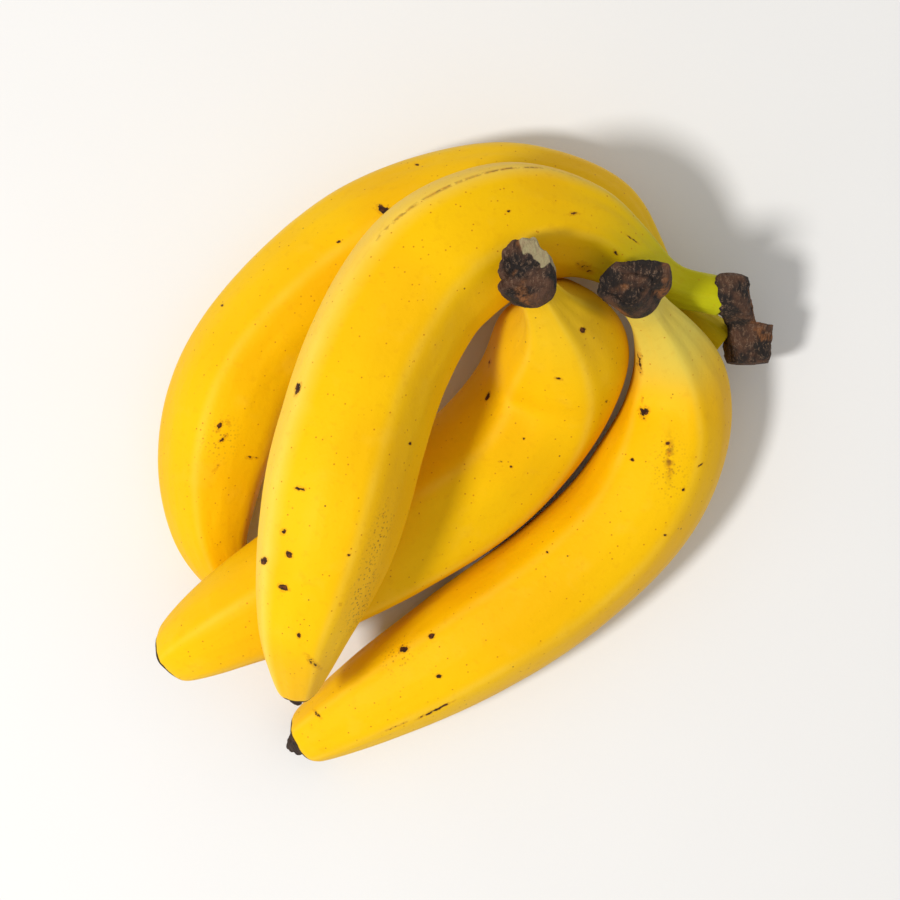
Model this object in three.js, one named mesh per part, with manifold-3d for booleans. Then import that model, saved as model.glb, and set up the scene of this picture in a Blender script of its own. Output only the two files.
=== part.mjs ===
// A bunch of four bananas lying on a flat surface. The outer and the top finger still share
// their dark crown. The inner and the right finger were torn off it, and each keeps a piece
// of the crown on its stalk. Millimetres, +Z up. The origin is on the surface, under the
// middle of the bunch.

import * as THREE from 'three';
import { mergeVertices } from 'three/addons/utils/BufferGeometryUtils.js';
import Module from 'manifold-3d';

const wasm = await Module();
wasm.setup();

// ---- Sizes that every finger shares ----

const touchGap = 0.3; // left between two pieces that touch
const restFlat = 0.4; // depth of the flat where a lying finger presses on the surface
const ridgeCount = 5;
const ridgeRise = 0.03; // how far a ridge stands out, as a share of the radius
const domeLength = 7; // length of the blunt blossom end
const domePower = 2.4; // above 2 the blossom end is squarer than half a ball

// ---- Sizes of each finger ----
// span: straight distance in plan from blossom end to stalk end.
// body, tip, stalk: radii of the middle, the blossom end and the stalk.
// tipTaper, tipFullness: length of the taper to the tip, and how late it starts (lower is later).
// stalkLength, neckLength: length of the even stalk, and of the neck that widens into the body.

const outerSize = { span: 162.7, body: 18.4, tip: 5, tipTaper: 62, tipFullness: 0.8,
  stalk: 5.8, stalkLength: 18, neckLength: 66 };
const innerSize = { span: 148, body: 20.6, tip: 5.8, tipTaper: 90, tipFullness: 0.55,
  stalk: 5.8, stalkLength: 20, neckLength: 64 };
const rightSize = { span: 161, body: 18.7, tip: 7, tipTaper: 85, tipFullness: 0.7,
  stalk: 6.3, stalkLength: 8, neckLength: 78 };
const topSize = { span: 165, body: 20.1, tip: 4.5, tipTaper: 68, tipFullness: 0.8,
  stalk: 6, stalkLength: 12, neckLength: 80 };

// ---- Bend of each finger ----
// Points from blossom end to stalk end: x, y and the height of the finger's underside.
// They give the shape of the bend; the span above sets its size.

const outerBend = [
  [-66.5, -39, 2], [-70.5, -22, 2], [-69, 0, 1], [-60, 25, 0], [-43, 46, 0], [-21.5, 62.5, 0],
  [5, 71.5, 0.5], [27, 72, 2], [44, 67.5, 6.5], [54, 57, 10.5], [64.5, 44.5, 11], [79.5, 33, 11],
];
const innerBend = [
  [-82, -58.5, 19], [-66, -49, 16.5], [-44, -37, 11.5], [-18, -22, 5.5], [7, -6, 1.5],
  [24, 12.5, 1.5], [30.5, 26.5, 10], [30, 34, 29], [27, 39, 53], [20.5, 48, 73],
];
const rightBend = [
  [-44.5, -86, 4], [-24, -73.5, 3.5], [2, -58, 1.5], [31, -38.5, 1], [52.5, -18, 2],
  [64, 4, 5], [65.5, 21, 13], [60, 33.5, 31], [51, 44, 54],
];
const topBend = [
  [-43, -68, 39.5], [-41.5, -61, 41.5], [-38.5, -47, 45], [-33, -23.5, 47], [-27.5, 4, 45],
  [-19.5, 29, 41.5], [-5.5, 51, 39], [16, 63.5, 37.5], [35, 63, 36], [47.5, 57, 34.5],
  [61, 49, 30.5], [77, 45.5, 26],
];

// ---- Sizes of the crown and of the torn pieces ----

const crownTopOutline = [
  [-1, 3], [3, 6.5], [7, 4.5], [9, -1.5], [10, -9], [3, -8.5], [-0.5, -5.5], [-1.5, -2.5],
];
const crownTopDepth = 15;
const crownLowOutline = [
  [-0.5, 4.5], [9, 4], [14, 3.5], [14.5, -5], [12.5, -6.5], [2.5, -7.5], [-0.5, -6],
];
const crownLowDepth = 15;
const crownBevel = 1.5; // rounding of the edges of the crown and of the torn pieces
const crownLinkRadius = 5; // of the strand that joins the two halves of the crown
const crownLinkInset = 5; // how far beyond the two stalks that strand runs
const socketDepth = 1.2; // how far a stalk reaches into its piece of crown

const tornOutline = [
  [-8, 1], [-5.5, 7], [1, 8.5], [6, 5.5], [8, 0], [5.5, -7], [-1, -8], [-6, -6],
];
const tornInnerDepth = 11;
const tornRightDepth = 10;

// ---- Fineness ----

const segmentsAround = 20;
const ringSpacing = 5.5;
const domeRings = 5;

// ---- Colours ----

const skin = { color: 0xf2c200, roughness: 0.45, metalness: 0 };
const bark = { color: 0x3d2a1c, roughness: 0.9, metalness: 0 };

const up = new THREE.Vector3(0, 0, 1);

/** A value that climbs smoothly from 0 at low to 1 at high. */
function smoothRise(value, low, high) {
  const share = THREE.MathUtils.clamp((value - low) / (high - low), 0, 1);
  return share * share * (3 - 2 * share);
}

/** How far the skin stands from a unit circle at an angle, with a ridge at angle 0. */
function ridgeFactor(angle) {
  return 1 + ridgeRise * Math.cos(ridgeCount * angle);
}

/** One banana: a centreline with a radius and a pair of side directions at every ring. */
class Finger {
  constructor(name, size, bend) {
    this.name = name;
    this.size = size;
    this.shift = new THREE.Vector3(); // how far the whole finger is moved to its seat
    this.lean = new THREE.Vector3(); // how far the stalk end is bent aside
    this.curve = Finger.curveOf(bend, size.span);
    this.length = this.curve.getLength();
    this.stations = this.stationsAlong();
    this.layOut();
  }

  /** The bend as a curve, sized about its stalk end so that its plan chord is the span. */
  static curveOf(bend, span) {
    const tip = bend[0];
    const stalk = bend[bend.length - 1];
    const scale = span / Math.hypot(stalk[0] - tip[0], stalk[1] - tip[1]);
    const points = bend.map(([x, y, lift]) => new THREE.Vector3(
      stalk[0] + (x - stalk[0]) * scale,
      stalk[1] + (y - stalk[1]) * scale,
      lift,
    ));
    return new THREE.CatmullRomCurve3(points, false, 'catmullrom', 0.5);
  }

  /** Distances from the tip at which the rings lie: close together on the dome, then even. */
  stationsAlong() {
    const stations = [];
    for (let ring = 0; ring < domeRings; ring += 1) {
      stations.push(domeLength * (1 - Math.cos((ring / domeRings) * Math.PI / 2)));
    }
    const count = Math.round((this.length - domeLength) / ringSpacing);
    for (let ring = 0; ring <= count; ring += 1) {
      stations.push(domeLength + (this.length - domeLength) * (ring / count));
    }
    return stations;
  }

  /** Radius without the dome, at a distance from the tip. */
  fullRadius(distance) {
    const { body, tip, tipTaper, tipFullness, stalk, stalkLength, neckLength } = this.size;
    const swell = Math.sin(Math.min(distance / tipTaper, 1) * Math.PI / 2) ** tipFullness;
    const fromEnd = this.length - distance;
    const necked = THREE.MathUtils.clamp((fromEnd - stalkLength) / neckLength, 0, 1);
    const fill = smoothRise(necked ** 0.8, 0, 1);
    return stalk + (tip + (body - tip) * swell - stalk) * fill;
  }

  /** Radius at a distance from the tip, closing to nothing over the dome. */
  radius(distance) {
    const left = THREE.MathUtils.clamp(1 - distance / domeLength, 0, 1);
    return this.fullRadius(distance) * Math.sqrt(1 - left ** domePower);
  }

  /** Centre of the finger at a distance from the tip, moved and leaned as it lies. */
  centre(distance) {
    const point = this.curve.getPointAt(Math.min(distance / this.length, 1));
    point.z += this.fullRadius(distance);
    const neckStart = this.length - this.size.stalkLength - this.size.neckLength;
    point.addScaledVector(this.lean, smoothRise(distance, neckStart, this.length));
    return point.add(this.shift);
  }

  /** Works out every ring: its centre, radius, axis and side directions (outer side first). */
  layOut() {
    const middle = this.centre(this.length * 0.55);
    const tip = this.centre(0);
    const end = this.centre(this.length);
    const bendAxis = middle.clone().sub(tip).cross(end.clone().sub(middle)).normalize();
    this.rings = this.stations.map((distance) => {
      const ahead = this.centre(Math.min(distance + 1, this.length));
      const axis = ahead.sub(this.centre(Math.max(distance - 1, 0))).normalize();
      const outward = new THREE.Vector3().crossVectors(axis, bendAxis).normalize();
      const sideways = new THREE.Vector3().crossVectors(axis, outward);
      return { distance, centre: this.centre(distance), radius: this.radius(distance),
        axis, outward, sideways };
    });
  }

  /** The skin point of a ring at an angle from the outer side. */
  static skinPoint(ring, angle) {
    const reach = ring.radius * ridgeFactor(angle);
    return ring.centre.clone()
      .addScaledVector(ring.outward, reach * Math.cos(angle))
      .addScaledVector(ring.sideways, reach * Math.sin(angle));
  }

  /** Skin points of the rings up to a distance from the tip. */
  skinPoints(upTo) {
    const points = [];
    for (const ring of this.rings.filter((each) => each.distance <= upTo)) {
      for (let step = 0; step < segmentsAround; step += 1) {
        points.push(Finger.skinPoint(ring, (step / segmentsAround) * 2 * Math.PI));
      }
    }
    return points;
  }

  /** Where the neck begins, as a distance from the tip. */
  get bodyEnd() {
    return this.length - this.size.stalkLength - this.size.neckLength * 0.6;
  }

  /** Least distance from points to this finger's skin up to a place, negative inside it. */
  clearance(points, upTo) {
    const rings = this.rings.filter((ring) => ring.distance <= upTo);
    const piece = new THREE.Line3();
    const nearest = new THREE.Vector3();
    let least = Infinity;
    for (let index = 0; index + 1 < rings.length; index += 1) {
      const here = rings[index];
      const next = rings[index + 1];
      piece.set(here.centre, next.centre);
      for (const point of points) {
        const share = piece.closestPointToPointParameter(point, true);
        piece.at(share, nearest);
        const offset = point.clone().sub(nearest);
        const angle = Math.atan2(offset.dot(here.sideways), offset.dot(here.outward));
        const radius = THREE.MathUtils.lerp(here.radius, next.radius, share);
        least = Math.min(least, offset.length() - radius * ridgeFactor(angle));
      }
    }
    return least;
  }

  /** Least distance between two fingers' skins, with or without the other one's neck. */
  gapTo(other, withNeck) {
    const upTo = withNeck ? other.length : other.bodyEnd;
    const mine = this.clearance(other.skinPoints(upTo), this.length);
    return Math.min(mine, other.clearance(this.skinPoints(this.length), upTo));
  }

  /** Lowers or lifts the whole finger until it rests on the surface. */
  restOnSurface() {
    const heights = this.skinPoints(this.length).map((point) => point.z);
    this.shift.z -= Math.min(...heights) + restFlat;
    this.layOut();
  }

  /** The closed skin: a turned profile whose every point is carried to the bent centreline. */
  geometry() {
    const profile = this.rings.map((ring) => new THREE.Vector2(ring.radius, ring.distance));
    profile.push(new THREE.Vector2(0, this.length));
    const turned = new THREE.LatheGeometry(profile, segmentsAround);
    const place = turned.getAttribute('position');
    for (let index = 0; index < place.count; index += 1) {
      const row = index % profile.length;
      const ring = this.rings[Math.min(row, this.rings.length - 1)];
      const angle = (Math.floor(index / profile.length) / segmentsAround) * 2 * Math.PI;
      const point = row < this.rings.length ? Finger.skinPoint(ring, angle) : ring.centre;
      place.setXYZ(index, point.x, point.y, point.z);
    }
    return turned;
  }
}

/**
 * Moves a finger along a direction, from a first step on, until it just clears the others.
 * The moved part is 'shift' for the whole finger or 'lean' for its stalk end.
 */
function seat(finger, others, part, direction, firstStep, withNecks) {
  const start = finger[part].clone();
  const room = (step) => {
    finger[part].copy(start).addScaledVector(direction, step);
    finger.layOut();
    return Math.min(...others.map((other) => finger.gapTo(other, withNecks))) - touchGap;
  };
  const coarse = 1;
  const fine = 0.01;
  let clear = firstStep;
  while (room(clear) < 0) clear += coarse;
  let blocked = clear - coarse;
  while (clear - blocked > fine && clear > firstStep) {
    const middle = (clear + blocked) / 2;
    if (room(middle) < 0) blocked = middle;
    else clear = middle;
  }
  room(clear);
}

/** A closed solid from a three.js geometry, its doubled corners merged. */
function solidOf(geometry) {
  const bare = geometry.clone();
  bare.deleteAttribute('normal');
  bare.deleteAttribute('uv');
  const merged = mergeVertices(bare);
  const corners = merged.getIndex().array;
  const kept = [];
  for (let index = 0; index < corners.length; index += 3) {
    const [a, b, c] = corners.slice(index, index + 3);
    if (a !== b && b !== c && c !== a) kept.push(a, b, c);
  }
  return new wasm.Manifold(new wasm.Mesh({
    numProp: 3,
    vertProperties: new Float32Array(merged.getAttribute('position').array),
    triVerts: new Uint32Array(kept),
  }));
}

/** A three.js mesh from a closed solid. */
function meshOf(name, solid, finish) {
  const { vertProperties, triVerts } = solid.getMesh();
  const geometry = new THREE.BufferGeometry();
  geometry.setAttribute('position', new THREE.BufferAttribute(vertProperties, 3));
  geometry.setIndex(new THREE.BufferAttribute(triVerts, 1));
  geometry.computeVertexNormals();
  const mesh = new THREE.Mesh(geometry, new THREE.MeshStandardMaterial(finish));
  mesh.name = name;
  return mesh;
}

/** A block with rounded edges: an outline of the given depth, centred on its own middle. */
function chunk(outline, depth) {
  const shape = new THREE.Shape(outline.map(([x, y]) => new THREE.Vector2(x, y)));
  const geometry = new THREE.ExtrudeGeometry(shape, {
    depth: depth - 2 * crownBevel,
    bevelThickness: crownBevel,
    bevelSize: crownBevel,
    bevelOffset: -crownBevel,
    bevelSegments: 2,
  });
  return geometry.translate(0, 0, crownBevel - depth / 2);
}

/** The space that a finger's stalk takes up in its piece of crown, with the gap around it. */
function socketOf(finger) {
  const end = finger.rings[finger.rings.length - 1];
  const before = end.centre.clone().addScaledVector(end.axis, -finger.size.stalkLength);
  const reach = end.centre.clone().addScaledVector(end.axis, touchGap);
  const radius = finger.size.stalk * (1 + ridgeRise) + touchGap;
  const depth = before.distanceTo(reach);
  const pin = new THREE.CylinderGeometry(radius, radius, depth, segmentsAround);
  pin.applyQuaternion(new THREE.Quaternion().setFromUnitVectors(
    new THREE.Vector3(0, 1, 0),
    end.axis,
  ));
  const middle = before.add(reach).multiplyScalar(0.5);
  return solidOf(pin.translate(middle.x, middle.y, middle.z));
}

/** The torn piece of crown on a stalk: a rough block that carries on in the stalk's direction. */
function tornPiece(finger, depth) {
  const end = finger.rings[finger.rings.length - 1];
  const block = chunk(tornOutline, depth);
  block.applyQuaternion(new THREE.Quaternion().setFromUnitVectors(up, end.axis));
  const centre = end.centre.clone().addScaledVector(end.axis, depth / 2 - socketDepth);
  block.translate(centre.x, centre.y, centre.z);
  return solidOf(block).subtract(socketOf(finger));
}

/** The crown that two stalks share: a block past each stalk's end and a strand between. */
function crownOf(high, low) {
  const highEnd = high.rings[high.rings.length - 1].centre;
  const lowEnd = low.rings[low.rings.length - 1].centre;
  const highBlock = chunk(crownTopOutline, crownTopDepth);
  highBlock.translate(highEnd.x, highEnd.y, highEnd.z);
  const lowBlock = chunk(crownLowOutline, crownLowDepth);
  lowBlock.translate(lowEnd.x, lowEnd.y, lowEnd.z);
  const inset = new THREE.Vector3(crownLinkInset, 0, 0);
  const path = new THREE.LineCurve3(lowEnd.clone().add(inset), highEnd.clone().add(inset));
  const ring = new THREE.Shape().absarc(0, 0, crownLinkRadius, 0, 2 * Math.PI);
  const link = new THREE.ExtrudeGeometry(ring, { extrudePath: path, steps: 1, curveSegments: 6 });
  return solidOf(highBlock)
    .add(solidOf(lowBlock))
    .add(solidOf(link))
    .subtract(socketOf(high))
    .subtract(socketOf(low));
}

/** A slab under the surface, for cutting the flats. */
function slabUnderSurface() {
  const side = 600;
  const depth = 60;
  return solidOf(new THREE.BoxGeometry(side, side, depth).translate(0, 0, -depth / 2));
}

// ---- The bunch ----

const outer = new Finger('finger_outer', outerSize, outerBend);
const inner = new Finger('finger_inner', innerSize, innerBend);
const right = new Finger('finger_right', rightSize, rightBend);
const top = new Finger('finger_top', topSize, topBend);

// The outer, inner and right fingers lie side by side and the top one lies over them. Then
// the necks of the inner and right finger lean clear of it.
const acrossInner = new THREE.Vector3(0.66, -0.75, 0);
const acrossRight = new THREE.Vector3(0.55, -0.83, 0);
const awayFromTop = new THREE.Vector3(0.5, -0.87, 0);
const closest = -8;
const asItLies = 0;

outer.restOnSurface();
inner.restOnSurface();
right.restOnSurface();
seat(inner, [outer], 'shift', acrossInner, closest, true);
seat(right, [inner, outer], 'shift', acrossRight, closest, true);
seat(top, [outer, inner, right], 'shift', up, closest, false);
seat(inner, [top], 'lean', awayFromTop, asItLies, true);
seat(right, [top], 'lean', awayFromTop, asItLies, true);

const slab = slabUnderSurface();
const group = new THREE.Group();
for (const finger of [outer, inner, right, top]) {
  group.add(meshOf(finger.name, solidOf(finger.geometry()).subtract(slab), skin));
}
group.add(meshOf('crown', crownOf(top, outer), bark));
group.add(meshOf('torn_crown_inner', tornPiece(inner, tornInnerDepth), bark));
group.add(meshOf('torn_crown_right', tornPiece(right, tornRightDepth), bark));

const box = new THREE.Box3().setFromObject(group);
const footprint = box.getCenter(new THREE.Vector3());
group.position.set(-footprint.x, -footprint.y, -box.min.z);

export default group;
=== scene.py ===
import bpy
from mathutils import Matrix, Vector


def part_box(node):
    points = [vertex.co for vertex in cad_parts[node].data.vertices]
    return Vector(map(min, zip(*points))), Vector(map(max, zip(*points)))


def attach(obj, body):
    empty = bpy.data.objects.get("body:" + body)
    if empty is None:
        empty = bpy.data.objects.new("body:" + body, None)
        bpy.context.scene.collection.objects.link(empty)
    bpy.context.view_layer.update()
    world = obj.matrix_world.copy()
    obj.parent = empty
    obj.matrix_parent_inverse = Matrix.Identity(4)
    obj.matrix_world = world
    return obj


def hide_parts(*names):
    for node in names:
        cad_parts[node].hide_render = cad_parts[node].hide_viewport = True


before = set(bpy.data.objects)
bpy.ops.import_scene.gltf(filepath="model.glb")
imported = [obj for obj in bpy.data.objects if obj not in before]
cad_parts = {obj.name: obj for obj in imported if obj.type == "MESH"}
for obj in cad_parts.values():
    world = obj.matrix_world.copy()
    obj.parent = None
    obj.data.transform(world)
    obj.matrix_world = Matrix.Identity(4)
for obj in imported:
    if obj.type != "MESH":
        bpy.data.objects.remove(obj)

"""A bunch of ripe bananas: four ridged fingers, the dark crown that two of them share, the
torn pieces of crown on the other two, and the dried blossom ends. Metres, +Z up."""

import logging
from dataclasses import dataclass, field
from enum import Enum
from typing import Any, Sequence

import bpy
import numpy as np
from mathutils import Vector

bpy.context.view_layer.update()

LOG = logging.getLogger("bananas")
MM = 0.001

# Every length below is in millimetres.
VIEW_CENTRE = np.array([-4.006, -0.432, 0.0])  # the origin of the plan that the bends are drawn in
UP = np.array([0.0, 0.0, 1.0])

# The tip's dome and the spacing of a finger's rings.
DOME_LENGTH = 5.0
DOME_POWER = 3.0
DOME_START = 0.04  # the first ring's place, as a share of the dome's quarter turn
DOME_PART = 8  # one ring in so many is on the dome
CURVE_SAMPLES = 1200
AXIS_STEP = 0.5  # spacing of the directions that are averaged into ring directions
AXIS_REACH = 1.0  # distance either side over which a direction is measured
MIDDLE_SHARE = 0.55  # where along a finger its plane of bend is taken

# The ridges: cosine waves round the finger, as shares of its radius.
RIDGE_COUNT = 5
RIDGE_RISE = 0.028
NECK_RISE = 0.030  # what the neck adds
SECOND_WAVE = 0.27  # height of the wave of twice as many crests
STUB_START = 12.0  # the ridges fade between these distances from the stalk's end
STUB_END = 4.0
STUB_FADE = 0.7

NECK_POWER = 0.8  # below 1, the neck stays full for longer
RELAX_SHARES = (0.4, 0.5)  # shares of the length between which relaxing sets in
RELAX_ENDS = (4.0, 14.0)  # distances from the stalk's end between which it stops

# The skin's unevenness.
SKIN_INSET = 0.22  # how far the fine skin stays inside its coarse solid
NOISE_RUN = 60.0  # length that counts as much as one radius in the noise
WANDER = 0.10  # radians by which a ridge strays
BROAD_LUMPS = 0.16
SMALL_LUMPS = 0.05
LUMP_INSET = 0.1

# What the finish is told.
PALE_SHARPNESS = 9
WORN_SHARPNESS = 90
NECK_GREEN = (62.0, 18.0)  # distances from the stalk's end between which the green comes in
TIP_DARK = (4.2, 1.6)  # distances from the tip between which the dark comes in
MARK_FALL = 1.15  # how steeply a mark ends

Points = Sequence[tuple[float, float, float]]
Colour = tuple[float, float, float]


# ---- numbers and fields


def smooth_rise(value: np.ndarray, low: float, high: float) -> np.ndarray:
    """Climb smoothly from 0 at low to 1 at high: 3q^2 - 2q^3 of the clamped share q.

    Args:
        value: numbers of any shape.
        low: where the climb starts.
        high: where it ends; below low for a fall.

    Returns:
        The climbed share of each number.
    """
    share = np.clip((value - low) / (high - low), 0.0, 1.0)
    return share * share * (3.0 - 2.0 * share)


class SmoothNoise:
    """A seeded field of smooth random values on a repeating lattice."""

    SIDE = 32

    def __init__(self, seed: int) -> None:
        """Draw the lattice; the seed fixes the draw."""
        self.lattice = np.random.default_rng(seed).uniform(-1.0, 1.0, (self.SIDE,) * 3)

    def __call__(self, points: np.ndarray, cell: float, octaves: int = 1) -> np.ndarray:
        """Blend the eight lattice values around each point, at halving cells and halving heights.

        Args:
            points: array of shape (..., 3).
            cell: lattice spacing in the points' unit.
            octaves: how many finer copies are added.

        Returns:
            Values of about -1 to 1, of shape (...).
        """
        total = np.zeros(points.shape[:-1])
        height = 1.0
        for octave in range(octaves):
            total += height * self._one(points * 2.0**octave / cell + 7.3 * octave)
            height *= 0.5
        return total

    def _one(self, place: np.ndarray) -> np.ndarray:
        """Blend once on a lattice of unit cells."""
        base = np.floor(place).astype(int)
        part = place - base
        part = part * part * (3.0 - 2.0 * part)
        total = np.zeros(place.shape[:-1])
        for corner in np.ndindex(2, 2, 2):
            at = (base + corner) % self.SIDE
            weight = np.prod(np.where(corner, part, 1.0 - part), axis=-1)
            total += weight * self.lattice[at[..., 0], at[..., 1], at[..., 2]]
        return total


def catmull_rom(points: Points, count: int) -> np.ndarray:
    """Even-speed curve through the points, each stretch a cubic of its four nearest points.

    Args:
        points: the points it passes.
        count: how many samples to return.

    Returns:
        Array (count, 3), evenly spaced by length.
    """
    given = np.array(points, dtype=float)
    ends = np.vstack([2 * given[0] - given[1], given, 2 * given[-1] - given[-2]])
    at = np.linspace(0.0, len(given) - 1.0, 8 * count)
    index = np.minimum(at.astype(int), len(given) - 2)
    share = (at - index)[:, None]
    before, here, after, beyond = (ends[index + step] for step in range(4))
    slope_in = (after - before) / 2
    slope_out = (beyond - here) / 2
    dense = (
        (2 * here - 2 * after + slope_in + slope_out) * share**3
        + (3 * after - 3 * here - 2 * slope_in - slope_out) * share**2
        + slope_in * share
        + here
    )
    run = np.concatenate([[0.0], np.cumsum(np.linalg.norm(np.diff(dense, axis=0), axis=1))])
    even = np.linspace(0.0, run[-1], count)
    return np.stack([np.interp(even, run, dense[:, axis]) for axis in range(3)], axis=1)


def hann(half: int) -> np.ndarray:
    """Raised-cosine weights for 2 * half + 1 neighbours, none of them zero."""
    return np.hanning(2 * half + 3)[1:-1]


def around_axis(
    start: np.ndarray, axis: np.ndarray, first: np.ndarray, height: np.ndarray, turned: np.ndarray
) -> np.ndarray:
    """Points at a height along an axis and an offset square to it.

    Args:
        start: where the axis starts.
        axis: its unit direction.
        first: a unit direction square to it.
        height: distances along the axis, shape (rows, around).
        turned: offsets along first and along axis x first, shape (2, rows, around).

    Returns:
        The points, shape (rows, around, 3).
    """
    return (
        start
        + height[..., None] * axis
        + turned[0][..., None] * first
        + turned[1][..., None] * np.cross(axis, first)
    )


def unit(vectors: np.ndarray) -> np.ndarray:
    """Each vector divided by its length."""
    return vectors / np.linalg.norm(vectors, axis=-1, keepdims=True)


# ---- meshes


def closed_mesh(
    name: str,
    grid: np.ndarray,
    fields: dict[str, np.ndarray | float],
    finish: bpy.types.Material,
) -> bpy.types.Object:
    """Make a closed skin from a grid whose rows are rings, each end shut by a fan.

    Args:
        name: the piece's name.
        grid: ring points in millimetres, shape (rows, around, 3), turning left round the
            direction in which the rows run.
        fields: named values per grid point, shape (rows, around), or one for all of them.
        finish: the piece's material.

    Returns:
        The object, at the origin.
    """
    rows, around = grid.shape[:2]
    points = np.vstack([grid.reshape(-1, 3), grid[0].mean(0), grid[-1].mean(0)]) * MM
    index = np.arange(rows * around).reshape(rows, around)
    turned = np.roll(index, -1, axis=1)
    quads = np.stack([index[:-1], turned[:-1], turned[1:], index[1:]], axis=-1).reshape(-1, 4)
    first = np.full(around, rows * around)
    start = np.stack([first, turned[0], index[0]], axis=-1)
    end = np.stack([first + 1, index[-1], turned[-1]], axis=-1)
    mesh = bpy.data.meshes.new(name)
    mesh.from_pydata(points.tolist(), [], quads.tolist() + start.tolist() + end.tolist())
    mesh.polygons.foreach_set("use_smooth", np.ones(len(mesh.polygons), dtype=bool))
    for label, values in fields.items():
        layer = mesh.attributes.new(label, "FLOAT", "POINT")
        values = np.broadcast_to(values, (rows, around))
        whole = np.concatenate([values.ravel(), [values[0].mean(), values[-1].mean()]])
        layer.data.foreach_set("value", whole.astype(np.float32))
    mesh.update()
    mesh.materials.append(finish)
    piece = bpy.data.objects.new(name, mesh)
    bpy.context.scene.collection.objects.link(piece)
    return piece


# ---- shader maths


class Value:
    """A number socket whose operators add Math nodes."""

    def __init__(self, tree: "Tree", socket: Any) -> None:
        """Wrap a socket of a tree."""
        self.tree = tree
        self.socket = socket

    def _math(self, operation: str, first: Any, second: Any) -> "Value":
        """Add one Math node and return its result."""
        made = self.tree.node("ShaderNodeMath", {"operation": operation}, {0: first, 1: second})
        return Value(self.tree, made.outputs[0])

    def __add__(self, other: Any) -> "Value":
        """Self plus other."""
        return self._math("ADD", self, other)

    __radd__ = __add__

    def __mul__(self, other: Any) -> "Value":
        """Self times other."""
        return self._math("MULTIPLY", self, other)

    __rmul__ = __mul__

    def __sub__(self, other: Any) -> "Value":
        """Self less other."""
        return self._math("SUBTRACT", self, other)

    def __rsub__(self, other: Any) -> "Value":
        """Other less self."""
        return self._math("SUBTRACT", other, self)

    def over(self, low: float, high: float) -> "Value":
        """Climb smoothly from 0 where this is low to 1 where it is high."""
        made = self.tree.node(
            "ShaderNodeMapRange",
            {"interpolation_type": "SMOOTHSTEP", "clamp": True},
            {0: self, 1: low, 2: high, 3: 0.0, 4: 1.0},
        )
        return Value(self.tree, made.outputs[0])

    def most(self, other: Any) -> "Value":
        """The greater of the two."""
        return self._math("MAXIMUM", self, other)


class Tree:
    """A material's node tree with one way to add a node."""

    def __init__(self, name: str) -> None:
        """Make a material with an empty tree, its shader and its output."""
        self.material = bpy.data.materials.new(name)
        self.material.use_nodes = True
        self.nodes = self.material.node_tree.nodes
        self.links = self.material.node_tree.links
        self.nodes.clear()
        self.place = self.node("ShaderNodeTexCoord").outputs["Object"]

    def node(
        self,
        kind: str,
        settings: dict[str, Any] | None = None,
        values: dict[Any, Any] | None = None,
    ) -> bpy.types.Node:
        """Add a node.

        Args:
            kind: the node's type.
            settings: its own properties, set first.
            values: a number, colour, socket or Value for each input, by name or place.

        Returns:
            The node.
        """
        made = self.nodes.new(kind)
        for label, setting in (settings or {}).items():
            setattr(made, label, setting)
        for label, value in (values or {}).items():
            socket = made.inputs[label]
            source = value.socket if isinstance(value, Value) else value
            if isinstance(source, bpy.types.NodeSocket):
                self.links.new(source, socket)
            elif isinstance(source, tuple) and len(source) == 3 and socket.type == "RGBA":
                socket.default_value = (*source, 1.0)
            else:
                socket.default_value = source
        return made

    def noise(
        self, size: float, detail: float = 2.0, stretch: Sequence[float] = (1.0, 1.0, 1.0)
    ) -> Value:
        """Noise of about 0 to 1.

        Args:
            size: the lumps' size in millimetres.
            detail: how many finer octaves are added.
            stretch: frequency along each axis; below 1 draws the lumps out.

        Returns:
            The noise.
        """
        mapped = self.node("ShaderNodeMapping", None, {"Vector": self.place, "Scale": stretch})
        made = self.node(
            "ShaderNodeTexNoise",
            None,
            {"Vector": mapped.outputs[0], "Scale": 1.0 / (size * MM), "Detail": detail},
        )
        return Value(self, made.outputs[0])

    def dots(self, size: float) -> tuple[Value, Value]:
        """Scattered points.

        Args:
            size: a cell's size in millimetres.

        Returns:
            The distance from the nearest point, in cells, and a random number of 0 to 1 that is
            the same all over that point's cell.
        """
        made = self.node(
            "ShaderNodeTexVoronoi", None, {"Vector": self.place, "Scale": 1.0 / (size * MM)}
        )
        return Value(self, made.outputs["Distance"]), Value(self, made.outputs["Color"])

    def field(self, label: str) -> Value:
        """A named value that the mesh carries."""
        made = self.node("ShaderNodeAttribute", {"attribute_name": label})
        return Value(self, made.outputs["Fac"])

    def mix(self, share: Any, first: Any, second: Any) -> Any:
        """Blend two colours, each a colour or its socket: share 0 is the first, 1 the second."""
        made = self.node("ShaderNodeMix", {"data_type": "RGBA"}, {0: share, 6: first, 7: second})
        return made.outputs[2]

    def bump(self, height: Value, depth: float, under: Any = None) -> Any:
        """Bend the normal.

        Args:
            height: a height of 0 to 1.
            depth: what a height of 1 stands for, in millimetres.
            under: the normal that is bent, if not the surface's own.

        Returns:
            The bent normal's socket.
        """
        values = {"Height": height, "Distance": depth * MM}
        if under is not None:
            values["Normal"] = under
        return self.node("ShaderNodeBump", None, values).outputs[0]

    def finish(self, colour: Any, roughness: Any, normal: Any, fixed: dict[str, Any]) -> None:
        """Join everything to the shader; fixed holds its even values, by socket name."""
        values = {"Base Color": colour, "Roughness": roughness, "Normal": normal, **fixed}
        shader = self.node("ShaderNodeBsdfPrincipled", None, values)
        self.node("ShaderNodeOutputMaterial", None, {"Surface": shader.outputs[0]})


# ---- finishes


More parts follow.
